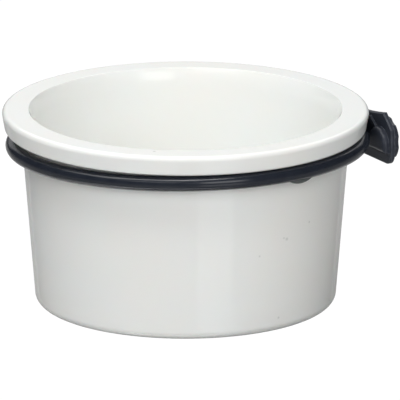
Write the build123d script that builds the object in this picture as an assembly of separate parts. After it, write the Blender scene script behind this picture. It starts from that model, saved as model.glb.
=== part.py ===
from build123d import *

import math
import os

# A feeding crock for a cage. The crock hangs by its rim in a round-bar ring. The ring lies in a saddle on a back
# plate, and two screws with large clamp discs grip the cage wire against the plate. Sizes are in millimetres.
# Frame: the origin is the centre of the crock's flat base, +Z is up, and +X runs from the crock to the plate.

# ---- Crock --------------------------------------------------------------------------------------------------
CROCK_HEIGHT = 70.1        # base to the flat top of the rim
BASE_RADIUS = 53.3         # outer wall, carried down to the base plane
BODY_DRAFT = 4.64          # degrees, the body widens upwards
BODY_WALL = 4.0
FLOOR_THICKNESS = 4.0
BASE_CORNER = 3.2          # rounding between base and body
FLOOR_CORNER = 8.0         # rounding between floor and inner wall
FLARE_DEPTH = 9.0          # the inner wall flares from here up to the mouth
FLARE_DRAFT = 9.0          # degrees
FLARE_BEND = 60.0          # rounding between the flare and the wall below it
RIM_OVERHANG = 6.32        # the rim's faces meet this far outside the body, before rounding
RIM_FACE_HEIGHT = 7.1
RIM_DRAFT = 10.0           # degrees, the rim's face leans in towards its lower edge
RIM_WALL = 2.5             # the turned-down skirt
RIM_TOP_THICKNESS = 3.2
RIM_EDGE = 1.6             # rounding of the rim's outer top edge
MOUTH_EDGE = 0.8           # rounding of the mouth
SKIRT_EDGE = 1.1           # rounding of the skirt's lower outer edge

# ---- Ring ---------------------------------------------------------------------------------------------------
RING_BAR = 5.45            # diameter of the round bar
RING_PLAY = 0.8            # radial play on the body just under the rim
RING_SIDE_GAP = 0.35       # the ring hangs this near to the body on the side away from the plate
RING_RIM_GAP = 0.45        # and this near to the rim on its high side
RING_ROLL = 1.9            # degrees, the hanging ring leans in the plane of its back plate, down towards +Y
LUG_ANGLES = (-77.6, 102.4)  # degrees from +X
LUG_LENGTH = 8.4           # along the bar, where the lug leaves it
LUG_DROP = 0.9
LUG_THICKNESS = 2.4
LUG_ROOT = 1.6             # the lug's shoulders reach this far up the bar
LUG_CUT_TURN = 60.0        # degrees of bar that each lug is fitted to

# ---- Back plate ---------------------------------------------------------------------------------------------
BAR_SEAT = 0.6             # the ring's bar sinks this far into the plate
PLATE_THICKNESS = 1.5
PLATE_WIDTH = 66.4
PLATE_BELOW = 9.9          # below the ring's plane
PLATE_ABOVE = 8.4          # above the ring's plane, at the high shoulders
SHOULDER_INSET = 6.0       # from the plate's end to its high shoulder
SHOULDER_DROP = 5.2        # from the shoulder down to the upright end
SCOOP_DEPTH = 2.5          # the top edge dips this far in the middle, clear of the crock's rim
PLATE_CORNER = 4.5         # lower corners
PLATE_EDGE = 0.35
SADDLE_WIDTH = 26.0        # block round the ring's bar
SADDLE_HEIGHT = 8.0
SADDLE_REACH = 3.3         # from the plate towards the crock
SADDLE_EDGE = 1.0
SEAT_CLEARANCE = 0.05      # round the bar in its saddle
SEAT_TURN = 120.0          # degrees of bar that the plate is fitted to
RIB_WIDTH = 1.3
RIB_HEIGHT = 0.8
RIB_START = (17.5, 5.4)    # from the plate's middle and above the ring's plane

# ---- Clamp screws -------------------------------------------------------------------------------------------
SCREW_PITCH = 50.8         # between the two screws, two inches, to pass between cage wires
SCREW_DROP = 1.5           # below the ring's plane
BOSS_RADIUS = 6.4          # half-round top of the boss
BOSS_TOP = 3.0             # above the ring's plane
BOSS_BOTTOM = 5.4          # below the ring's plane
BOSS_REACH = 2.4           # from the plate towards the crock
BOSS_EDGE = 1.5
BOSS_SKIN = 0.8            # closed end of the boss, towards the crock
INSERT_DIAMETER = 5.6
INSERT_GROOVE = 0.4        # depth of the groove that locks the insert in the boss
INSERT_GROOVE_WIDTH = 0.9
INSERT_MARGIN = 0.3        # the insert stays this far short of the plate's outer face
SCREW_DIAMETER = 4.0
SCREW_TIP_GAP = 0.2        # closed, between the tip and the boss's closed end
TIP_CHAMFER = 0.5
THREAD_CLEARANCE = 0.05    # radial, plain bore for the thread
HOLE_CLEARANCE = 0.3       # radial, round the screw in the plate and the disc
DISC_RADIUS = 8.0
DISC_THICKNESS = 1.7
DISC_EDGE = 0.5
DISC_SCALLOPS = 6
SCALLOP_RADIUS = 5.0
SCALLOP_DEPTH = 0.6
DISC_GAP = 0.1             # between the plate and the closed disc
HEAD_DIAMETER = 7.6
HEAD_HEIGHT = 1.9
HEAD_CROWN = 1.0
DRIVE_WIDTH = 1.3          # coin slot
DRIVE_DEPTH = 0.9
SEAT_GAP = 0.02            # between the disc and the screw's head

# ---- Worked out from the values above -----------------------------------------------------------------------
TAPER = math.tan(math.radians(BODY_DRAFT))


def body_radius(z):
    """Outer radius of the body at height z."""
    return BASE_RADIUS + TAPER * z


def wall_radius(z):
    """Inner radius of the body at height z."""
    return body_radius(z) - BODY_WALL / math.cos(math.radians(BODY_DRAFT))


RIM_RADIUS = body_radius(CROCK_HEIGHT) + RIM_OVERHANG
RIM_BOTTOM = CROCK_HEIGHT - RIM_FACE_HEIGHT
FLARE_Z = CROCK_HEIGHT - FLARE_DEPTH
MOUTH_RADIUS = wall_radius(FLARE_Z) + FLARE_DEPTH * math.tan(math.radians(FLARE_DRAFT))

BAR_RADIUS = RING_BAR / 2
RING_RADIUS = body_radius(RIM_BOTTOM) + RING_PLAY + BAR_RADIUS
RING_RISE = RING_RADIUS * math.sin(math.radians(RING_ROLL))
RING_Z = RIM_BOTTOM - RING_RIM_GAP - BAR_RADIUS - RING_RISE
RING_SHIFT = RING_RADIUS - BAR_RADIUS - body_radius(RING_Z) - RING_SIDE_GAP

# Stations along X, measured from the centre of the ring.
PLATE_IN = RING_RADIUS + BAR_RADIUS - BAR_SEAT
PLATE_OUT = PLATE_IN + PLATE_THICKNESS
BOSS_IN = PLATE_IN - BOSS_REACH
INSERT_IN = BOSS_IN + BOSS_SKIN
INSERT_OUT = PLATE_OUT - INSERT_MARGIN
DISC_IN = PLATE_OUT + DISC_GAP
DISC_OUT = DISC_IN + DISC_THICKNESS
HEAD_IN = DISC_OUT + SEAT_GAP
HEAD_OUT = HEAD_IN + HEAD_HEIGHT
SCREW_TIP = INSERT_IN + SCREW_TIP_GAP

SCREW_RADIUS = SCREW_DIAMETER / 2
HOLE_RADIUS = SCREW_RADIUS + HOLE_CLEARANCE
INSERT_RADIUS = INSERT_DIAMETER / 2
SIDES = {"front": -SCREW_PITCH / 2, "back": SCREW_PITCH / 2}


def hang(part):
    """Carries a piece from the ring's own frame to where the ring hangs on the crock."""
    return Pos(RING_SHIFT, 0, RING_Z) * Rot(-RING_ROLL, 0, 0) * part


def along_x(x):
    """Plane across the clamp's axis at station x: its local x is +Y and its local y is +Z."""
    return Plane(origin=(x, 0, 0), x_dir=(0, 1, 0), z_dir=(1, 0, 0))


def rod(radius, start, end, y=0.0, z=0.0):
    """Cylinder along X from start to end."""
    return extrude(along_x(start) * Pos(y, z) * Circle(radius), amount=end - start)


def outer_edges(part):
    """Edges round the face that looks away from the crock."""
    return part.faces().sort_by(Axis.X)[-1].outer_wire().edges()


def inner_edges(part):
    """Edges round the face that looks at the crock."""
    return part.faces().sort_by(Axis.X)[0].outer_wire().edges()


# ---- Crock --------------------------------------------------------------------------------------------------
def crock_bowl():
    """The moulded crock, turned about Z: drafted body, turned-down rim and flared mouth."""
    skirt_lean = math.tan(math.radians(RIM_DRAFT))
    under_rim = CROCK_HEIGHT - RIM_TOP_THICKNESS
    skirt_out = RIM_RADIUS - skirt_lean * RIM_FACE_HEIGHT
    skirt_in = skirt_out - RIM_WALL
    skirt_in_top = RIM_RADIUS - skirt_lean * RIM_TOP_THICKNESS - RIM_WALL
    outline = Polyline(
        (0, 0),
        (BASE_RADIUS, 0),
        (body_radius(under_rim), under_rim),
        (skirt_in_top, under_rim),
        (skirt_in, RIM_BOTTOM),
        (skirt_out, RIM_BOTTOM),
        (RIM_RADIUS, CROCK_HEIGHT),
        (MOUTH_RADIUS, CROCK_HEIGHT),
        (wall_radius(FLARE_Z), FLARE_Z),
        (wall_radius(FLOOR_THICKNESS), FLOOR_THICKNESS),
        (0, FLOOR_THICKNESS),
        close=True,
    )
    profile = make_face(outline)
    roundings = (
        (BASE_CORNER, BASE_RADIUS, 0),
        (FLOOR_CORNER, wall_radius(FLOOR_THICKNESS), FLOOR_THICKNESS),
        (RIM_EDGE, RIM_RADIUS, CROCK_HEIGHT),
        (MOUTH_EDGE, MOUTH_RADIUS, CROCK_HEIGHT),
        (FLARE_BEND, wall_radius(FLARE_Z), FLARE_Z),
        (SKIRT_EDGE, skirt_out, RIM_BOTTOM),
    )
    for radius, x, y in roundings:
        corner = profile.vertices().sort_by_distance((x, y, 0))[0]
        profile = fillet(corner, radius)
    return revolve(Plane.XZ * profile, Axis.Z)


# ---- Ring ---------------------------------------------------------------------------------------------------
def bar(radius, turn=360.0):
    """Round bar bent about Z, a full ring or a part of one centred on +X."""
    section = Plane.XZ * Pos(RING_RADIUS, 0) * Circle(radius)
    return Rot(0, 0, -turn / 2) * revolve(section, Axis.Z, revolution_arc=turn)


def retaining_ring():
    """Round bar bent to a closed ring."""
    return hang(bar(BAR_RADIUS))


def lug(angle):
    """Half-moon tab welded under the bar, at an angle from +X."""
    radius = ((LUG_LENGTH / 2) ** 2 + LUG_DROP**2) / (2 * LUG_DROP)
    lowest = -BAR_RADIUS - LUG_DROP
    top = -BAR_RADIUS + LUG_ROOT
    moon = Pos(0, lowest + radius) * Circle(radius)
    moon &= Pos(0, (lowest + top) / 2) * Rectangle(2 * radius, top - lowest)
    tab = extrude(along_x(RING_RADIUS) * moon, amount=LUG_THICKNESS / 2, both=True)
    return Rot(0, 0, angle) * (tab - bar(BAR_RADIUS, LUG_CUT_TURN))


def ring_lugs():
    """Both lugs, as one group."""
    return hang(Compound(children=[solid for angle in LUG_ANGLES for solid in lug(angle).solids()]))


# ---- Back plate ---------------------------------------------------------------------------------------------
def plate_outline():
    """Outline of the back plate: upright ends, high shoulders and a scooped top edge."""
    half = PLATE_WIDTH / 2
    shoulder = half - SHOULDER_INSET
    end_top = PLATE_ABOVE - SHOULDER_DROP
    scoop = ThreePointArc((-shoulder, PLATE_ABOVE), (0, PLATE_ABOVE - SCOOP_DEPTH), (shoulder, PLATE_ABOVE))
    sides = Polyline(
        (shoulder, PLATE_ABOVE),
        (half, end_top),
        (half, -PLATE_BELOW),
        (-half, -PLATE_BELOW),
        (-half, end_top),
        (-shoulder, PLATE_ABOVE),
    )
    outline = make_face(Curve() + scoop + sides)
    return fillet(outline.vertices().sort_by(Axis.Y)[:2], PLATE_CORNER)


def boss(y):
    """Half-round-topped boss, closed towards the crock, that holds a threaded insert."""
    centre = BOSS_TOP - BOSS_RADIUS
    left, right = y - BOSS_RADIUS, y + BOSS_RADIUS
    arch = ThreePointArc((left, centre), (y, BOSS_TOP), (right, centre))
    sides = Polyline((right, centre), (right, -BOSS_BOTTOM), (left, -BOSS_BOTTOM), (left, centre))
    outline = make_face(Curve() + arch + sides)
    solid = extrude(along_x(BOSS_IN) * outline, amount=BOSS_REACH + PLATE_THICKNESS / 2)
    return fillet(inner_edges(solid), BOSS_EDGE)


def saddle():
    """Block on the plate that takes the outer side of the ring's bar."""
    start = PLATE_IN - SADDLE_REACH
    solid = extrude(
        along_x(start) * Rectangle(SADDLE_WIDTH, SADDLE_HEIGHT), amount=SADDLE_REACH + PLATE_THICKNESS / 2
    )
    return fillet(inner_edges(solid), SADDLE_EDGE)


def rib(side):
    """Low rib from the plate's upper middle down to a boss; side is -1 or 1."""
    start_y, start_z = RIB_START
    end_y, end_z = SCREW_PITCH / 2, BOSS_TOP - BOSS_RADIUS / 2
    length = math.hypot(end_y - start_y, end_z - start_z)
    angle = math.degrees(math.atan2(end_z - start_z, side * (end_y - start_y)))
    middle = Pos(side * (start_y + end_y) / 2, (start_z + end_z) / 2)
    footprint = middle * Rot(0, 0, angle) * SlotOverall(length, RIB_WIDTH)
    return extrude(along_x(PLATE_IN - RIB_HEIGHT) * footprint, amount=RIB_HEIGHT + PLATE_THICKNESS / 2)


def back_plate():
    """Plate that lies against the cage, with the ring's saddle, two ribs and two bosses on the crock's side."""
    plate = extrude(along_x(PLATE_IN) * plate_outline(), amount=PLATE_THICKNESS)
    plate = chamfer(inner_edges(plate), PLATE_EDGE)
    plate += saddle()
    for side in (-1, 1):
        plate += rib(side)
    for y in SIDES.values():
        plate += boss(y)
        plate -= insert_body(y)
        plate -= rod(HOLE_RADIUS, INSERT_IN, PLATE_OUT, y, -SCREW_DROP)
    return hang(plate - bar(BAR_RADIUS + SEAT_CLEARANCE, SEAT_TURN))


# ---- Clamp screws -------------------------------------------------------------------------------------------
def insert_body(y):
    """Outer shape of the threaded insert, with the groove round its middle."""
    body = rod(INSERT_RADIUS, INSERT_IN, INSERT_OUT, y, -SCREW_DROP)
    start = (INSERT_IN + INSERT_OUT - INSERT_GROOVE_WIDTH) / 2
    end = start + INSERT_GROOVE_WIDTH
    groove = rod(INSERT_RADIUS, start, end, y, -SCREW_DROP)
    groove -= rod(INSERT_RADIUS - INSERT_GROOVE, start, end, y, -SCREW_DROP)
    return body - groove


def threaded_insert(y):
    """Brass insert moulded into the boss."""
    bore = rod(SCREW_RADIUS + THREAD_CLEARANCE, INSERT_IN, INSERT_OUT, y, -SCREW_DROP)
    return hang(insert_body(y) - bore)


def clamp_disc(y):
    """Scalloped disc that presses the cage wire against the plate."""
    outline = Circle(DISC_RADIUS)
    reach = DISC_RADIUS + SCALLOP_RADIUS - SCALLOP_DEPTH
    outline -= PolarLocations(reach, DISC_SCALLOPS) * Circle(SCALLOP_RADIUS)
    disc = extrude(along_x(DISC_IN) * Pos(y, -SCREW_DROP) * outline, amount=DISC_THICKNESS)
    disc = fillet(outer_edges(disc), DISC_EDGE)
    return hang(disc - rod(HOLE_RADIUS, DISC_IN, DISC_OUT, y, -SCREW_DROP))


def clamp_screw(y):
    """Low-head screw with a coin slot, its tip inside the boss while the clamp is closed."""
    head = rod(HEAD_DIAMETER / 2, HEAD_IN, HEAD_OUT, y, -SCREW_DROP)
    head = fillet(outer_edges(head), HEAD_CROWN)
    slot = Pos(HEAD_OUT - DRIVE_DEPTH / 2, y, -SCREW_DROP) * Box(DRIVE_DEPTH, HEAD_DIAMETER, DRIVE_WIDTH)
    shank = rod(SCREW_RADIUS, SCREW_TIP, HEAD_IN, y, -SCREW_DROP)
    shank = chamfer(inner_edges(shank), TIP_CHAMFER)
    return hang(head - slot + shank)


pieces = {
    "crock_bowl": crock_bowl(),
    "retaining_ring": retaining_ring(),
    "ring_lugs": ring_lugs(),
    "back_plate": back_plate(),
}
for side, station in SIDES.items():
    pieces[f"{side}_insert"] = threaded_insert(station)
    pieces[f"{side}_clamp_disc"] = clamp_disc(station)
    pieces[f"{side}_clamp_screw"] = clamp_screw(station)

os.makedirs("parts", exist_ok=True)
for name, piece in pieces.items():
    export_step(piece, f"parts/{name}.step")
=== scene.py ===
import logging
import math
from collections.abc import Callable
from dataclasses import dataclass
from enum import Enum

import bpy
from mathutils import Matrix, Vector


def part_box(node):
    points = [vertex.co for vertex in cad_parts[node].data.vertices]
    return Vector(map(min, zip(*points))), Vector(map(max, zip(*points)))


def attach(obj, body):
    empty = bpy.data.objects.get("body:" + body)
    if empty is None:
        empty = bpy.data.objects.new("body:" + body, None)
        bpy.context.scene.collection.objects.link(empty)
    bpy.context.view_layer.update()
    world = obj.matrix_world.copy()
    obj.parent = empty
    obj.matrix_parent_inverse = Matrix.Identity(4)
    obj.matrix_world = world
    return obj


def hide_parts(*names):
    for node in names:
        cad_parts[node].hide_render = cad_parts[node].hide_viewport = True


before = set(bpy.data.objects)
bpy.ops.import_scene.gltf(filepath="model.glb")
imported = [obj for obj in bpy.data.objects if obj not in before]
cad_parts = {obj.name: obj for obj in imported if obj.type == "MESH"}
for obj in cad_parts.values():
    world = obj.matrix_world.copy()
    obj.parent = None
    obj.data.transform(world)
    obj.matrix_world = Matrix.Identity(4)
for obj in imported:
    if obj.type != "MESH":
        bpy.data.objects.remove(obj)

log = logging.getLogger("feeding_crock")

MM = 0.001
MICRON = MM / 1000
QUARTER_TURN = math.radians(90)
FULL_TURN = math.radians(360)
SHARP = math.radians(30)
WHITE = (1.0, 1.0, 1.0, 1.0)
WALL_RADIUS = 53.3 * MM
WALL_DRAFT = 4.64
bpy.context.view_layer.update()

Colour = tuple[float, float, float, float]
Place = tuple[float, float, float]
Socket = bpy.types.NodeSocket


class Side(Enum):
    """The two ends of the back plate."""

    FRONT = "front"
    BACK = "back"


class Sum(Enum):
    """What a sum does with its two values."""

    ADD = "ADD"
    TAKE_AWAY = "SUBTRACT"
    MULTIPLY = "MULTIPLY"
    LARGER = "MAXIMUM"


@dataclass(frozen=True)
class Pattern:
    """Noise with blobs about `size` metres across, sharpened between the values low and high."""

    size: float
    detail: float
    low: float = 0.0
    high: float = 1.0
    stretch: Place = (1.0, 1.0, 1.0)


@dataclass(frozen=True)
class Edge:
    """A worn edge `width` metres wide, bare where its normal turns by low and worn at high; on the
    black moulding it also places a painted highlight.
    """

    width: float
    low: float
    high: float


def colour(red: float, green: float, blue: float) -> Colour:
    """Linear colour from three sRGB values of 0 to 255.

    Args:
        red: Red, 0 to 255.
        green: Green, 0 to 255.
        blue: Blue, 0 to 255.

    Returns:
        Red, green, blue and alpha, linear, 0 to 1.
    """
    def linear(value: float) -> float:
        """One channel, from sRGB to linear."""
        share = value / 255
        return share / 12.92 if share <= 0.04045 else ((share + 0.055) / 1.055) ** 2.4

    return linear(red), linear(green), linear(blue), 1.0


def outwards(turn: float, rise: float) -> Vector:
    """Unit vector from the crock's axis towards a place round it.

    Args:
        turn: Degrees round the crock, from the front towards the right.
        rise: Degrees above the floor.

    Returns:
        The vector.
    """
    angle, tilt = math.radians(turn), math.radians(rise)
    level = math.cos(tilt)
    return Vector((math.sin(angle) * level, -math.cos(angle) * level, math.sin(tilt)))


class Wiring:
    """A node tree that starts empty, with short calls to add and join nodes."""

    def __init__(self, owner: bpy.types.ID) -> None:
        """Turns the owner's nodes on and clears them.

        Args:
            owner: The material or world that the tree belongs to.
        """
        owner.use_nodes = True
        self.tree = owner.node_tree
        self.tree.nodes.clear()

    def add(self, kind: str, **settings: object) -> bpy.types.Node:
        """Adds a node and sets its properties.

        Args:
            kind: The node's type.
            settings: Property names and values.

        Returns:
            The new node.
        """
        node = self.tree.nodes.new(kind)
        for key, value in settings.items():
            setattr(node, key, value)
        return node

    def join(self, source: Socket, target: Socket) -> None:
        """Links an output to an input."""
        self.tree.links.new(source, target)

    def feed(self, value: object, target: Socket) -> None:
        """Gives an input a number or a colour, or links a socket to it.

        Args:
            value: A number, a colour or a socket.
            target: The input.
        """
        if isinstance(value, Socket):
            self.join(value, target)
        else:
            target.default_value = value

    def maths(self, operation: Sum, first: object, second: object) -> Socket:
        """One sum on two values.

        Args:
            operation: What the sum does.
            first: A number or a socket.
            second: A number or a socket.

        Returns:
            The result.
        """
        node = self.add("ShaderNodeMath", operation=operation.value)
        for index, value in enumerate((first, second)):
            self.feed(value, node.inputs[index])
        return node.outputs["Value"]

    def surface(self, output: str, share: Socket, first: Socket, second: Socket) -> None:
        """Mixes two shaders into the tree's output.

        Args:
            output: The output node's type.
            share: How much of the second shader.
            first: A shader.
            second: A shader.
        """
        mixer = self.add("ShaderNodeMixShader")
        self.join(share, mixer.inputs["Fac"])
        self.join(first, mixer.inputs[1])
        self.join(second, mixer.inputs[2])
        self.join(mixer.outputs[0], self.add(output).inputs["Surface"])


class Graph(Wiring):
    """A finish's node tree, with short calls for the nodes that the finishes share."""

    def __init__(self, name: str) -> None:
        """Makes the material and its shader.

        Args:
            name: The material's name.
        """
        self.material = bpy.data.materials.new(name)
        super().__init__(self.material)
        self.shader = self.add("ShaderNodeBsdfPrincipled")
        output = self.add("ShaderNodeOutputMaterial")
        self.join(self.shader.outputs["BSDF"], output.inputs["Surface"])
        self.place = self.add("ShaderNodeTexCoord").outputs["Object"]

    def noise(self, pattern: Pattern) -> Socket:
        """A pattern's plain noise.

        Args:
            pattern: The pattern.

        Returns:
            The noise's value, 0 to 1.
        """
        mapping = self.add("ShaderNodeMapping")
        mapping.inputs["Scale"].default_value = pattern.stretch
        self.join(self.place, mapping.inputs["Vector"])
        node = self.add("ShaderNodeTexNoise")
        node.inputs["Scale"].default_value = 1 / pattern.size
        node.inputs["Detail"].default_value = pattern.detail
        self.join(mapping.outputs["Vector"], node.inputs["Vector"])
        return node.outputs["Fac"]

    def cells(self, scale: float) -> Socket:
        """Distance to the nearest of many scattered points.

        Args:
            scale: Points along a metre, about.

        Returns:
            The distance, in shares of the points' spacing.
        """
        node = self.add("ShaderNodeTexVoronoi", feature="F1")
        node.inputs["Scale"].default_value = scale
        node.inputs["Randomness"].default_value = 1.0
        self.join(self.place, node.inputs["Vector"])
        return node.outputs["Distance"]

    def distance(self, centre: Place) -> Socket:
        """Distance from a place on the piece.

        Args:
            centre: The place, in metres.

        Returns:
            The distance, in metres.
        """
        node = self.add("ShaderNodeVectorMath", operation="DISTANCE")
        self.join(self.place, node.inputs[0])
        node.inputs[1].default_value = centre
        return node.outputs["Value"]

    def ramp(self, value: Socket, low: float, high: float,
             start: float = 0.0, end: float = 1.0) -> Socket:
        """Maps a value's span from low to high onto start to end, clamped.

        Args:
            value: The value.
            low: Value that gives start.
            high: Value that gives end.
            start: Result at low.
            end: Result at high.

        Returns:
            The mapped value.
        """
        node = self.add("ShaderNodeMapRange")
        self.join(value, node.inputs["Value"])
        limits = {"From Min": low, "From Max": high, "To Min": start, "To Max": end}
        for key, number in limits.items():
            node.inputs[key].default_value = number
        return node.outputs["Result"]

    def patches(self, pattern: Pattern, least: float = 0.0, most: float = 1.0) -> Socket:
        """A pattern's patches, from least between them to most inside them."""
        return self.ramp(self.noise(pattern), pattern.low, pattern.high, least, most)

    def mix(self, share: Socket, first: object, second: object) -> Socket:
        """Mixes two colours.

        Args:
            share: How much of the second colour.
            first: A colour or a socket.
            second: A colour or a socket.

        Returns:
            The mixed colour.
        """
        node = self.add("ShaderNodeMix", data_type="RGBA")
        self.join(share, node.inputs["Factor"])
        for key, value in (("A", first), ("B", second)):
            self.feed(value, [s for s in node.inputs if s.name == key and s.type == "RGBA"][0])
        return [s for s in node.outputs if s.type == "RGBA"][0]

    def edge_wear(self, edge: Edge, samples: int = 4) -> Socket:
        """Share of wear along convex edges, from how far a bevel turns the normal; the black
        moulding also uses it for a painted edge highlight.

        Args:
            edge: The worn edge.
            samples: The bevel's samples.

        Returns:
            Wear, 0 to 1.
        """
        bevel = self.add("ShaderNodeBevel", samples=samples)
        bevel.inputs["Radius"].default_value = edge.width
        plain = self.add("ShaderNodeNewGeometry")
        dot = self.add("ShaderNodeVectorMath", operation="DOT_PRODUCT")
        self.join(bevel.outputs["Normal"], dot.inputs[0])
        self.join(plain.outputs["Normal"], dot.inputs[1])
        turned = self.maths(Sum.TAKE_AWAY, 1.0, dot.outputs["Value"])
        return self.ramp(turned, edge.low, edge.high)

    def bumps(self, *layers: tuple[Socket, float]) -> None:
        """Chains bump layers into the shader's normal.

        Args:
            layers: Pairs of a height from 0 to 1 and its depth in metres.
        """
        normal = None
        for height, depth in layers:
            node = self.add("ShaderNodeBump")
            node.inputs["Strength"].default_value = 1.0
            node.inputs["Distance"].default_value = depth
            self.join(height, node.inputs["Height"])
            if normal is not None:
                self.join(normal, node.inputs["Normal"])
            normal = node.outputs["Normal"]
        self.join(normal, self.shader.inputs["Normal"])

    def set(self, **values: object) -> None:
        """Sets or links the shader's inputs, named with underscores for spaces."""
        for key, value in values.items():
            self.feed(value, self.shader.inputs[key.replace("_", " ")])


@dataclass(frozen=True)
class Speck:
    """One small dark fleck on the crock's wall, at an angle in degrees and a height in metres."""

    angle: float
    height: float
    radius: float

    def place(self) -> Place:
        """Its middle, on the drafted wall.

        Returns:
            X, Y and Z in metres.
        """
        away = WALL_RADIUS + self.height * math.tan(math.radians(WALL_DRAFT))
        turn = math.radians(self.angle)
        return away * math.sin(turn), -away * math.cos(turn), self.height


@dataclass(frozen=True)
class WhiteMoulding:
    """Glossy white moulding of the crock, with faint ripple, specks and rubbed edges.

    Widths and depths are in metres. A fleck's core and rim are shares of the flecks' spacing, and
    a speck's core is a share of its radius.
    """

    body: Colour = colour(238, 240, 238)
    warm: Colour = colour(239, 239, 235)
    fleck: Colour = colour(150, 155, 152)
    clouds: Pattern = Pattern(45 * MM, 2.0, 0.35, 0.65)
    flecks_per_metre: float = 45.0
    fleck_core: float = 0.012
    fleck_rim: float = 0.035
    fleck_strength: float = 0.55
    fleck_groups: Pattern = Pattern(20 * MM, 0.0, 0.54, 0.57)
    specks: tuple[Speck, ...] = (
        Speck(24.1, 38.4 * MM, 0.6 * MM),
        Speck(13.0, 34.3 * MM, 0.8 * MM),
        Speck(11.6, 34.9 * MM, 0.5 * MM),
        Speck(1.4, 29.7 * MM, 0.5 * MM),
        Speck(11.1, 5.3 * MM, 0.6 * MM),
    )
    speck_core: float = 0.3
    speck_strength: float = 0.3
    grain: Pattern = Pattern(0.9 * MM, 2.0, 0.3, 0.7)
    grain_depth: float = 0.4 * MICRON
    ripple: Pattern = Pattern(14 * MM, 1.0)
    ripple_depth: float = 3 * MICRON
    roughness: float = 0.025
    spread: tuple[float, float] = (0.85, 1.2)
    edge: Edge = Edge(1.2 * MM, 0.02, 0.25)
    edge_roughness: float = 0.05

    def tint(self, g: Graph) -> Socket:
        """Colour of the moulding, with its flecks and specks.

        Args:
            g: The finish's node tree.

        Returns:
            The colour.
        """
        base = g.mix(g.patches(self.clouds), self.body, self.warm)
        dot = g.ramp(g.cells(self.flecks_per_metre), self.fleck_core, self.fleck_rim,
                     self.fleck_strength, 0.0)
        base = g.mix(g.maths(Sum.MULTIPLY, dot, g.patches(self.fleck_groups)), base, self.fleck)
        for speck in self.specks:
            spot = g.ramp(g.distance(speck.place()), speck.radius * self.speck_core, speck.radius,
                          self.speck_strength, 0.0)
            base = g.mix(spot, base, self.fleck)
        return base

    def gloss(self, g: Graph, grain: Socket) -> Socket:
        """Roughness of the moulding, a little higher along its edges.

        Args:
            g: The finish's node tree.
            grain: The noise of its grain.

        Returns:
            The roughness.
        """
        least, most = (self.roughness * share for share in self.spread)
        plain = g.ramp(grain, self.grain.low, self.grain.high, least, most)
        rubbed = g.maths(Sum.MULTIPLY, g.edge_wear(self.edge), self.edge_roughness)
        return g.maths(Sum.ADD, plain, rubbed)

    def build(self) -> bpy.types.Material:
        """Makes the material.

        Returns:
            The material.
        """
        g = Graph("white_moulding")
        grain = g.noise(self.grain)
        g.set(Base_Color=self.tint(g), Roughness=self.gloss(g, grain), IOR=1.47,
              Specular_IOR_Level=0.5, Subsurface_Weight=0.05, Subsurface_Scale=0.002)
        g.bumps((g.noise(self.ripple), self.ripple_depth), (grain, self.grain_depth))
        return g.material


@dataclass(frozen=True)
class BarCoating:
    """Smooth satin coating on the bent bar and its lugs; the lugs get a lighter, olive copy that is
    a painted reflection.
    """

    name: str = "bar_coating"
    base: Colour = colour(33, 37, 46)
    dusty: Colour = colour(37, 41, 50)
    worn: Colour = colour(86, 90, 94)
    roughness: float = 0.18
    dust: Pattern = Pattern(6 * MM, 4.0, 0.42, 0.72)
    dust_roughness: float = 0.08
    edge: Edge = Edge(0.6 * MM, 0.05, 0.4)
    rub: Pattern = Pattern(1.5 * MM, 3.0, 0.5, 0.65)
    rub_strength: float = 0.2
    peel: Pattern = Pattern(1.1 * MM, 2.0)
    peel_depth: float = 5 * MICRON
    grain: Pattern = Pattern(0.25 * MM, 2.0)
    grain_depth: float = 1.2 * MICRON

    def build(self) -> bpy.types.Material:
        """Makes the material.

        Returns:
            The material.
        """
        g = Graph(self.name)
        dust = g.patches(self.dust)
        rub = g.patches(self.rub, most=self.rub_strength)
        wear = g.maths(Sum.MULTIPLY, g.edge_wear(self.edge), rub)
        dull = self.roughness + self.dust_roughness
        g.set(Base_Color=g.mix(wear, g.mix(dust, self.base, self.dusty), self.worn),
              Roughness=g.ramp(dust, 0.0, 1.0, self.roughness, dull),
              IOR=1.5, Coat_Weight=0.12, Coat_Roughness=0.25)
        g.bumps((g.noise(self.peel), self.peel_depth), (g.noise(self.grain), self.grain_depth))
        return g.material


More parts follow.
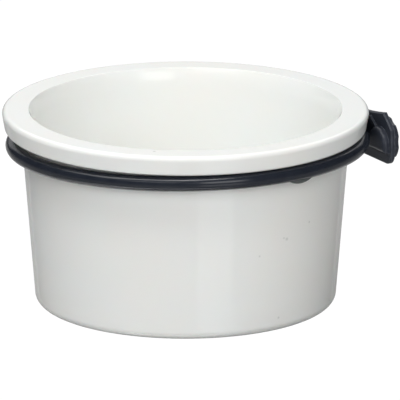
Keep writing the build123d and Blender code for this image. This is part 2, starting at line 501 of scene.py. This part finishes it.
@dataclass(frozen=True)
class BlackMoulding:
    """Fine-grained black moulding of the back plate and the clamp discs, with edges lighter partly
    from wear and partly as a painted highlight.
    """

    base: Colour = colour(38, 42, 52)
    grey: Colour = colour(50, 54, 64)
    # Lighter colour along the edges: partly rubbed wear, partly a painted highlight along the
    # plate's and discs' edges.
    rubbed: Colour = colour(128, 134, 142)
    roughness: float = 0.36
    flow: Pattern = Pattern(9 * MM, 3.0, 0.4, 0.7, (1.0, 0.35, 1.6))
    flow_roughness: float = 0.1
    edge: Edge = Edge(0.5 * MM, 0.03, 0.3)
    rub: Pattern = Pattern(1.2 * MM, 3.0, 0.35, 0.6)
    highlight_and_rub_least: float = 0.15
    highlight_and_rub_most: float = 0.8
    scuffs: Pattern = Pattern(1.6 * MM, 2.0, 0.62, 0.72, (1.0, 0.12, 1.0))
    scuff_roughness: float = -0.08
    grain: Pattern = Pattern(0.3 * MM, 3.0)
    grain_depth: float = 12 * MICRON
    swell: Pattern = Pattern(4 * MM, 2.0)
    swell_depth: float = 20 * MICRON

    def build(self) -> bpy.types.Material:
        """Makes the material.

        Returns:
            The material.
        """
        g = Graph("black_moulding")
        flow = g.patches(self.flow)
        rub = g.patches(self.rub, self.highlight_and_rub_least, self.highlight_and_rub_most)
        # Painted edge highlight and wear: every edge gets at least the least share of the lighter
        # colour, more where rub patches fall.
        wear = g.maths(Sum.MULTIPLY, g.edge_wear(self.edge), rub)
        rough = g.ramp(flow, 0.0, 1.0, self.roughness, self.roughness + self.flow_roughness)
        scuffs = g.maths(Sum.MULTIPLY, g.patches(self.scuffs), self.scuff_roughness)
        g.set(Base_Color=g.mix(wear, g.mix(flow, self.base, self.grey), self.rubbed),
              Roughness=g.maths(Sum.ADD, rough, scuffs), IOR=1.49)
        g.bumps((g.noise(self.grain), self.grain_depth), (g.noise(self.swell), self.swell_depth))
        return g.material


@dataclass(frozen=True)
class TurnedMetal:
    """Turned metal with fine rings about the clamp's axis, for the screws and inserts.

    It is dull where stain and rings together pass the values of `dulling`.
    """

    name: str
    base: Colour
    dull: Colour
    roughness: float
    spread: tuple[float, float] = (0.8, 1.5)
    stain: Pattern = Pattern(2.2 * MM, 4.0, 0.4, 0.7)
    rings: Pattern = Pattern(0.22 * MM, 2.0, stretch=(3.0, 1.0, 1.0))
    rings_depth: float = 6 * MICRON
    dulling: tuple[float, float] = (0.3, 1.5)

    def build(self) -> bpy.types.Material:
        """Makes the material.

        Returns:
            The material.
        """
        g = Graph(self.name)
        stain, rings = g.patches(self.stain), g.noise(self.rings)
        least, most = (self.roughness * share for share in self.spread)
        both = g.maths(Sum.ADD, stain, rings)
        g.set(Base_Color=g.mix(stain, self.base, self.dull), Metallic=1.0,
              Roughness=g.ramp(both, *self.dulling, least, most))
        g.bumps((rings, self.rings_depth))
        return g.material


def dress(nodes: list[str], material: bpy.types.Material) -> list[bpy.types.Object]:
    """Gives CAD nodes a finish.

    Args:
        nodes: The nodes' names.
        material: Their material.

    Returns:
        The nodes.
    """
    dressed = [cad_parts[node] for node in nodes]
    for node in dressed:
        node.data.materials.clear()
        node.data.materials.append(material)
    return dressed


def deselect() -> None:
    """Deselects everything."""
    bpy.ops.object.select_all(action="DESELECT")


def settle(piece: bpy.types.Object) -> None:
    """Moves a piece's place, turn and scale into its mesh."""
    modelling(piece)
    bpy.ops.object.transform_apply(location=True, rotation=True, scale=True)


def started(name: str) -> bpy.types.Object:
    """Takes up the primitive that was just added.

    Args:
        name: Its name.

    Returns:
        The piece, with its place in its mesh.
    """
    piece = bpy.context.object
    piece.name = name
    settle(piece)
    return piece


def modelling(piece: bpy.types.Object) -> None:
    """Makes a piece the only selected and active object.

    Args:
        piece: The piece.
    """
    deselect()
    piece.select_set(True)
    bpy.context.view_layer.objects.active = piece


def apply_modifiers(piece: bpy.types.Object) -> None:
    """Applies every modifier of a piece, in order.

    Args:
        piece: The piece.
    """
    modelling(piece)
    for modifier in list(piece.modifiers):
        bpy.ops.object.modifier_apply(modifier=modifier.name)


def edit_all(piece: bpy.types.Object) -> None:
    """Opens a piece in edit mode with all its vertices selected.

    Args:
        piece: The piece.
    """
    modelling(piece)
    bpy.ops.object.mode_set(mode="EDIT")
    bpy.ops.mesh.select_mode(type="VERT")
    bpy.ops.mesh.select_all(action="SELECT")


def edit_faces(piece: bpy.types.Object, chosen: Callable[[float], bool]) -> None:
    """Opens a piece in edit mode with only some of its faces selected.

    Args:
        piece: The piece.
        chosen: Tells from the X of a face's middle whether the face is selected.
    """
    modelling(piece)
    bpy.ops.object.mode_set(mode="EDIT")
    bpy.ops.mesh.select_mode(type="FACE")
    bpy.ops.mesh.select_all(action="DESELECT")
    bpy.ops.object.mode_set(mode="OBJECT")
    for face in piece.data.polygons:
        face.select = chosen(face.center.x)
    bpy.ops.object.mode_set(mode="EDIT")


def leave_edit() -> None:
    """Goes back to object mode."""
    bpy.ops.object.mode_set(mode="OBJECT")


def close_shell(piece: bpy.types.Object) -> None:
    """Merges doubles, turns all faces outwards and smooths all but the sharp edges.

    Args:
        piece: The piece.
    """
    edit_all(piece)
    bpy.ops.mesh.remove_doubles(threshold=MICRON)
    bpy.ops.mesh.normals_make_consistent(inside=False)
    leave_edit()
    bpy.ops.object.shade_smooth_by_angle(angle=SHARP)


@dataclass
class Crock:
    """The loose crock, drawn as a half section and spun.

    Sizes are in metres, and leans in degrees off the upright.
    """

    node: str = "crock_bowl"
    finish: WhiteMoulding = WhiteMoulding()
    base_radius: float = WALL_RADIUS
    draft: float = WALL_DRAFT
    wall: float = 4.58 * MM
    floor: float = 4.0 * MM
    base_corner: float = 3.2 * MM
    floor_corner: float = 8.0 * MM
    flare_depth: float = 3.1 * MM
    flare: float = 26.0
    flare_bend: float = 16.5 * MM
    mouth_edge: float = 0.2 * MM
    rim_overhang: float = 6.32 * MM
    rim_face: float = 7.1 * MM
    rim_lean: float = 10.0
    rim_wall: float = 2.5 * MM
    rim_top: float = 3.2 * MM
    rim_edge: float = 1.6 * MM
    skirt_edge: float = 1.1 * MM
    margin: float = 0.4 * MM
    arc_steps: int = 12
    spin_steps: int = 288

    def outer(self, z: float) -> float:
        """Radius of the drafted outside at a height."""
        return self.base_radius + math.tan(math.radians(self.draft)) * z

    def inner(self, z: float) -> float:
        """Radius of the drafted inside at a height."""
        return self.outer(z) - self.wall / math.cos(math.radians(self.draft))

    def corners(self) -> list[tuple[float, float, float]]:
        """Corners of the half section from the axis on the base, out, up and back in to the axis.

        Returns:
            Radius, height and rounding of each corner.
        """
        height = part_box(self.node)[1][2]
        lean = math.tan(math.radians(self.rim_lean))
        rim = self.outer(height) + self.rim_overhang
        under, lowest = height - self.rim_top, height - self.rim_face
        skirt = rim - lean * self.rim_face
        bend = height - self.flare_depth
        mouth = self.inner(bend) + self.flare_depth * math.tan(math.radians(self.flare))
        return [
            (0.0, 0.0, 0.0),
            (self.base_radius, 0.0, self.base_corner),
            (self.outer(under), under, 0.0),
            (rim - lean * self.rim_top - self.rim_wall, under, 0.0),
            (skirt - self.rim_wall, lowest, 0.0),
            (skirt, lowest, self.skirt_edge),
            (rim, height, self.rim_edge),
            (mouth, height, self.mouth_edge),
            (self.inner(bend), bend, self.flare_bend),
            (self.inner(self.floor), self.floor, self.floor_corner),
            (0.0, self.floor, 0.0),
        ]

    def line(self, start: Vector, end: Vector) -> None:
        """Extrudes the drawn vertex along a straight run, with a station near each end.

        Args:
            start: Where the vertex is.
            end: Where it goes.
        """
        way = end - start
        stations = [way.length]
        if way.length > 3 * self.margin:
            stations = [self.margin, way.length - self.margin, way.length]
        done = 0.0
        for station in stations:
            step = way.normalized() * (station - done)
            bpy.ops.mesh.extrude_region_move(TRANSFORM_OT_translate={"value": step})
            done = station

    def pen(self, start: Vector) -> bpy.types.Object:
        """A plane merged to one vertex, in edit mode, which the section is drawn with.

        Args:
            start: Where the vertex stands.

        Returns:
            The piece.
        """
        deselect()
        bpy.ops.mesh.primitive_plane_add(size=MM, location=start)
        outline = started("spun_crock")
        edit_all(outline)
        bpy.ops.mesh.merge(type="CENTER")
        return outline

    def half_section(self) -> bpy.types.Object:
        """Draws the half section in the XZ plane: straight runs extruded, roundings spun.

        Returns:
            The open outline.
        """
        places = [(Vector((radius, 0, z)), rounding) for radius, z, rounding in self.corners()]
        at = places[0][0]
        outline = self.pen(at)
        for (before, _), (here, rounding), (after, _) in zip(places, places[1:], places[2:]):
            come, go = (here - before).normalized(), (after - here).normalized()
            turn = come.angle(go)
            reach = rounding * math.tan(turn / 2)
            self.line(at, here - come * reach)
            if rounding:
                axis = come.cross(go).normalized()
                centre = here - come * reach + axis.cross(come) * rounding
                # With no window, spin turns the other way.
                bpy.ops.mesh.spin(steps=self.arc_steps, angle=-turn, center=centre, axis=axis)
            at = here + go * reach
        self.line(at, places[-1][0])
        leave_edit()
        return outline

    def build(self) -> list[bpy.types.Object]:
        """Spins the half section and dresses the crock.

        Returns:
            The crock.
        """
        crock = self.half_section()
        edit_all(crock)
        bpy.ops.mesh.spin(steps=self.spin_steps, angle=FULL_TURN, center=(0, 0, 0), axis=(0, 0, 1))
        leave_edit()
        close_shell(crock)
        crock.data.materials.append(self.finish.build())
        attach(crock, "crock")
        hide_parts(self.node)
        return [crock]


@dataclass
class HangingRing:
    """The bent round bar that the crock hangs in, and its two welded lugs, whose coating is painted
    lighter as reflected light.
    """

    bar: BarCoating = BarCoating()
    # Painted reflection: the lugs carry the bar's black coating, painted as a lighter olive grey
    # that stands for the white crock's light reflected in them.
    lug_painted_reflection: BarCoating = BarCoating(
        "lug_coating_painted_reflection", colour(80, 85, 84), colour(90, 95, 93), colour(126, 130, 129), 0.4)

    def build(self) -> list[bpy.types.Object]:
        """Dresses and returns the bar and the lugs."""
        bar = dress(["retaining_ring"], self.bar.build())
        return bar + dress(["ring_lugs"], self.lug_painted_reflection.build())


@dataclass
class BackPlate:
    """The moulded plate behind the crock, with its saddle, bosses and brass inserts."""

    moulding: bpy.types.Material
    brass: TurnedMetal = TurnedMetal(
        "turned_brass", colour(196, 160, 96), colour(150, 118, 66), 0.3)

    def build(self) -> list[bpy.types.Object]:
        """Dresses and returns the plate and its inserts."""
        plate = dress(["back_plate"], self.moulding)
        return plate + dress([f"{side.value}_insert" for side in Side], self.brass.build())


@dataclass
class WireClamp:
    """One clamp: its disc, and a coin-slotted screw with a rolled thread.

    Sizes are in metres, angles in degrees. The screw lies along X, with its head at the high end.
    `ridge_reach` is how far the thread's ridge stands out of the core, in radii of its section.
    """

    side: Side
    moulding: bpy.types.Material
    zinc: bpy.types.Material
    pitch: float = 0.7 * MM
    core_radius: float = 1.6 * MM
    crest_radius: float = 1.98 * MM
    thread_end: float = 3.3 * MM
    thread_steps: int = 40
    ridge_reach: float = 1.3
    head_height: float = 1.9 * MM
    head_radius: float = 3.8 * MM
    crown: float = 0.85 * MM
    crown_steps: int = 8
    slot_width: float = 1.3 * MM
    slot_depth: float = 0.9 * MM
    slot_length: float = 11.4 * MM
    tip_chamfer: float = 0.45 * MM
    edge: float = 0.08 * MM
    edge_angle: float = 50.0
    edge_steps: int = 2
    roll: float = -1.9
    sides: int = 64
    slack: float = 0.07 * MM

    def ends(self) -> tuple[Vector, Vector, Vector]:
        """Points on the plain screw's axis.

        Returns:
            The tip, the underside of the head and the head's crown.
        """
        low, high = (Vector(corner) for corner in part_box(f"{self.side.value}_clamp_screw"))
        tip, under, top = (low + high) / 2, (low + high) / 2, (low + high) / 2
        tip.x, under.x, top.x = low.x, high.x - self.head_height, high.x
        return tip, under, top

    def blank(self, tip: Vector, under: Vector) -> bpy.types.Object:
        """Shank and head in one, drawn out of a cylinder.

        Args:
            tip: The shank's end on the axis.
            under: The head's underside on the axis.

        Returns:
            The blank.
        """
        deselect()
        bpy.ops.mesh.primitive_cylinder_add(
            vertices=self.sides, radius=self.core_radius, depth=under.x - tip.x,
            location=(tip + under) / 2, rotation=(0, QUARTER_TURN, 0))
        blank = started(f"{self.side.value}_coin_screw")
        edit_faces(blank, lambda x: x > under.x - self.slack)
        bpy.ops.mesh.extrude_region_move(TRANSFORM_OT_translate={"value": (0, 0, 0)})
        grow = self.head_radius / self.core_radius
        bpy.ops.transform.resize(value=(1, grow, grow), center_override=under)
        bpy.ops.mesh.extrude_region_move(TRANSFORM_OT_translate={"value": (self.head_height, 0, 0)})
        bpy.ops.mesh.bevel(offset=self.crown, segments=self.crown_steps, affect="EDGES")
        leave_edit()
        edit_faces(blank, lambda x: x < tip.x + self.slack)
        bpy.ops.mesh.bevel(offset=self.tip_chamfer, segments=1, affect="EDGES")
        leave_edit()
        return blank

    def ridge(self, tip: Vector, under: Vector) -> bpy.types.Object:
        """The thread's ridge: a three-sided section wound up along the shank.

        Args:
            tip: The shank's end on the axis.
            under: The head's underside on the axis.

        Returns:
            The ridge, closed at both ends.
        """
        radius = (self.crest_radius - self.core_radius) / self.ridge_reach
        middle = (self.crest_radius - radius, 0, 0)
        deselect()
        bpy.ops.mesh.primitive_circle_add(vertices=3, radius=radius, fill_type="NOTHING",
                                          location=middle, rotation=(QUARTER_TURN, 0, 0))
        ridge = started(f"{self.side.value}_thread")
        edit_all(ridge)
        bpy.ops.transform.rotate(value=QUARTER_TURN, orient_axis="Y", center_override=middle)
        leave_edit()
        winding = ridge.modifiers.new("winding", "SCREW")
        winding.axis, winding.angle, winding.screw_offset = "Z", FULL_TURN, self.pitch
        winding.iterations = int((under.x - self.thread_end - tip.x) / self.pitch)
        winding.steps = winding.render_steps = self.thread_steps
        winding.use_merge_vertices = False
        apply_modifiers(ridge)
        edit_all(ridge)
        bpy.ops.mesh.fill_holes(sides=3)
        leave_edit()
        ridge.rotation_euler = (0, QUARTER_TURN, 0)
        ridge.location = (tip.x + self.pitch, tip.y, tip.z)
        settle(ridge)
        return ridge

    def cut_slot(self, screw: bpy.types.Object, top: Vector) -> None:
        """Cuts the coin slot across the head.

        Args:
            screw: The screw.
            top: The head's crown on the axis.
        """
        deselect()
        bpy.ops.mesh.primitive_cube_add(
            size=1, location=top, rotation=(math.radians(self.roll), 0, 0),
            scale=(2 * self.slot_depth, self.slot_length, self.slot_width))
        cutter = started(f"{self.side.value}_slot_cutter")
        slot = screw.modifiers.new("slot", "BOOLEAN")
        slot.operation, slot.object, slot.solver = "DIFFERENCE", cutter, "EXACT"
        apply_modifiers(screw)
        bpy.data.objects.remove(cutter, do_unlink=True)

    def round_edges(self, screw: bpy.types.Object) -> None:
        """Rounds the screw's sharp edges a little.

        Args:
            screw: The screw.
        """
        edges = screw.modifiers.new("edges", "BEVEL")
        edges.width, edges.segments, edges.limit_method = self.edge, self.edge_steps, "ANGLE"
        edges.angle_limit = math.radians(self.edge_angle)
        apply_modifiers(screw)

    def screw(self) -> bpy.types.Object:
        """The finished screw, in place of the plain one.

        Returns:
            The screw.
        """
        tip, under, top = self.ends()
        screw, ridge = self.blank(tip, under), self.ridge(tip, under)
        self.cut_slot(screw, top)
        close_shell(ridge)
        modelling(screw)
        ridge.select_set(True)
        bpy.ops.object.join()
        self.round_edges(screw)
        close_shell(screw)
        screw.data.materials.clear()
        screw.data.materials.append(self.zinc)
        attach(screw, f"{self.side.value}_screw")
        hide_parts(f"{self.side.value}_clamp_screw")
        return screw

    def build(self) -> list[bpy.types.Object]:
        """Dresses the disc, builds the screw and returns both."""
        return dress([f"{self.side.value}_clamp_disc"], self.moulding) + [self.screw()]


@dataclass(frozen=True)
class Lamp:
    """One soft area lamp that looks at the crock.

    Angles are in degrees and lengths in metres. A mirrored lamp shows in glossy surfaces.
    """

    name: str
    turn: float
    rise: float
    distance: float
    width: float
    height: float
    power: float
    mirrored: bool = False
    aim_height: float = 40 * MM

    def build(self, azimuth: float) -> None:
        """Makes the lamp and aims it.

        Args:
            azimuth: The camera's place round the crock, from which the lamp's turn counts.
        """
        way = outwards(azimuth + self.turn, self.rise)
        data = bpy.data.lights.new(self.name, "AREA")
        data.shape, data.size, data.size_y = "RECTANGLE", self.width, self.height
        data.energy = self.power
        lamp = bpy.data.objects.new(self.name, data)
        lamp.location = Vector((0, 0, self.aim_height)) + way * self.distance
        lamp.rotation_euler = (-way).to_track_quat("-Z", "Y").to_euler()
        lamp.visible_glossy = self.mirrored
        bpy.context.scene.collection.objects.link(lamp)


@dataclass
class Studio:
    """Pale floor, soft light and the camera. Angles are in degrees, lengths in metres."""

    azimuth: float = -26.5
    elevation: float = 15.84
    distance: float = 3.77
    lens: float = 957.5
    sensor: float = 36.0
    view_depth: float = 50.0
    aim_right: float = 5.14 * MM
    aim_down: float = 32.54 * MM
    floor_size: float = 6.0
    floor_drop: float = 0.3 * MM
    floor_tone: float = 0.38
    floor_roughness: float = 0.02
    floor_ior: float = 3.6
    floor_glow: float = 1.06
    floor_glow_share: float = 0.96
    surround: float = 0.02
    surround_tint: Colour = (0.94, 0.97, 1.0, 1.0)
    lamps: tuple[Lamp, ...] = (
        Lamp("window_softbox", 22, 20, 1.5, 0.65, 0.61, 3.2, mirrored=True),
        Lamp("left_strip", -24, 35, 1.5, 0.8, 0.25, 1.0, mirrored=True),
        Lamp("backdrop_wash", 180, 16, 2.4, 2.6, 1.0, 4.0, mirrored=True),
        Lamp("left_softbox", -85, 58, 1.6, 1.2, 0.8, 8.0, mirrored=True),
        Lamp("front_left_softbox", -38, 66, 1.6, 1.0, 0.25, 5.5, mirrored=True),
        Lamp("front_low_softbox", -15, 12, 1.6, 0.8, 0.8, 4.0),
        Lamp("front_softbox", -9, 30, 1.6, 0.8, 0.8, 6.7),
        Lamp("front_right_softbox", 18, 66, 1.6, 0.6, 0.22, 3.4, mirrored=True),
        Lamp("right_softbox", 80, 30, 1.6, 0.8, 0.8, 2.8),
        Lamp("right_low_softbox", 55, 10, 1.6, 0.6, 0.4, 1.3),
        Lamp("rear_high_softbox", 180, 52, 1.7, 2.2, 1.4, 14.8, mirrored=True),
    )

    def camera(self) -> None:
        """Makes the camera, aimed a little right of and below the middle of the mouth."""
        back = outwards(self.azimuth, self.elevation)
        turn = math.radians(self.azimuth)
        right = Vector((math.cos(turn), math.sin(turn), 0.0))
        mouth = Vector((0, 0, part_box("crock_bowl")[1][2]))
        target = mouth + right * self.aim_right - back.cross(right) * self.aim_down
        data = bpy.data.cameras.new("camera")
        data.lens, data.sensor_width, data.clip_end = self.lens, self.sensor, self.view_depth
        camera = bpy.data.objects.new("camera", data)
        camera.location = target + back * self.distance
        camera.rotation_euler = (-back).to_track_quat("-Z", "Y").to_euler()
        bpy.context.scene.collection.objects.link(camera)
        bpy.context.scene.camera = camera

    def world(self) -> None:
        """Faint surrounding light; the background itself shows white."""
        world = bpy.data.worlds.new("studio")
        bpy.context.scene.world = world
        wiring = Wiring(world)
        rays = wiring.add("ShaderNodeLightPath").outputs
        dim = wiring.add("ShaderNodeBackground")
        white = wiring.add("ShaderNodeBackground")
        dim.inputs["Color"].default_value = self.surround_tint
        dim.inputs["Strength"].default_value = self.surround
        white.inputs["Color"].default_value = WHITE
        seen = wiring.maths(Sum.LARGER, rays["Is Camera Ray"], rays["Is Transmission Ray"])
        wiring.surface("ShaderNodeOutputWorld", seen, dim.outputs[0], white.outputs[0])

    def floor_finish(self) -> bpy.types.Material:
        """Glossy grey that shows white to the camera, and keeps a trace of its own shading.

        Returns:
            The material.
        """
        material = bpy.data.materials.new("pale_floor")
        wiring = Wiring(material)
        grey = wiring.add("ShaderNodeBsdfPrincipled")
        grey.inputs["Base Color"].default_value = (*[self.floor_tone] * 3, 1.0)
        grey.inputs["Roughness"].default_value = self.floor_roughness
        grey.inputs["IOR"].default_value = self.floor_ior
        glow = wiring.add("ShaderNodeEmission")
        glow.inputs["Strength"].default_value = self.floor_glow
        rays = wiring.add("ShaderNodeLightPath").outputs
        seen = wiring.maths(Sum.MULTIPLY, rays["Is Camera Ray"], self.floor_glow_share)
        wiring.surface("ShaderNodeOutputMaterial", seen, grey.outputs[0], glow.outputs[0])
        return material

    def floor(self) -> None:
        """Pale floor that shows white, and keeps the crock's soft shadow."""
        deselect()
        bpy.ops.mesh.primitive_plane_add(size=self.floor_size, location=(0, 0, -self.floor_drop))
        floor = started("floor")
        floor.data.materials.append(self.floor_finish())

    def build(self) -> None:
        """Makes the whole studio."""
        bpy.context.scene.view_settings.view_transform = "Standard"
        self.camera()
        self.world()
        self.floor()
        for lamp in self.lamps:
            lamp.build(self.azimuth)


def main() -> None:
    """Builds and dresses every sub-assembly in order, and reports each piece."""
    logging.basicConfig(level=logging.INFO, format="%(name)s: %(message)s")
    Studio().build()
    moulding = BlackMoulding().build()
    zinc = TurnedMetal("zinc_plate", colour(196, 199, 202), colour(158, 162, 166), 0.28).build()
    clamps = [WireClamp(side, moulding, zinc) for side in Side]
    for assembly in (Crock(), HangingRing(), BackPlate(moulding), *clamps):
        for piece in assembly.build():
            faces = len(piece.data.polygons)
            log.info("%s: %s, %d faces", type(assembly).__name__, piece.name, faces)


if __name__ == "__main__":
    main()
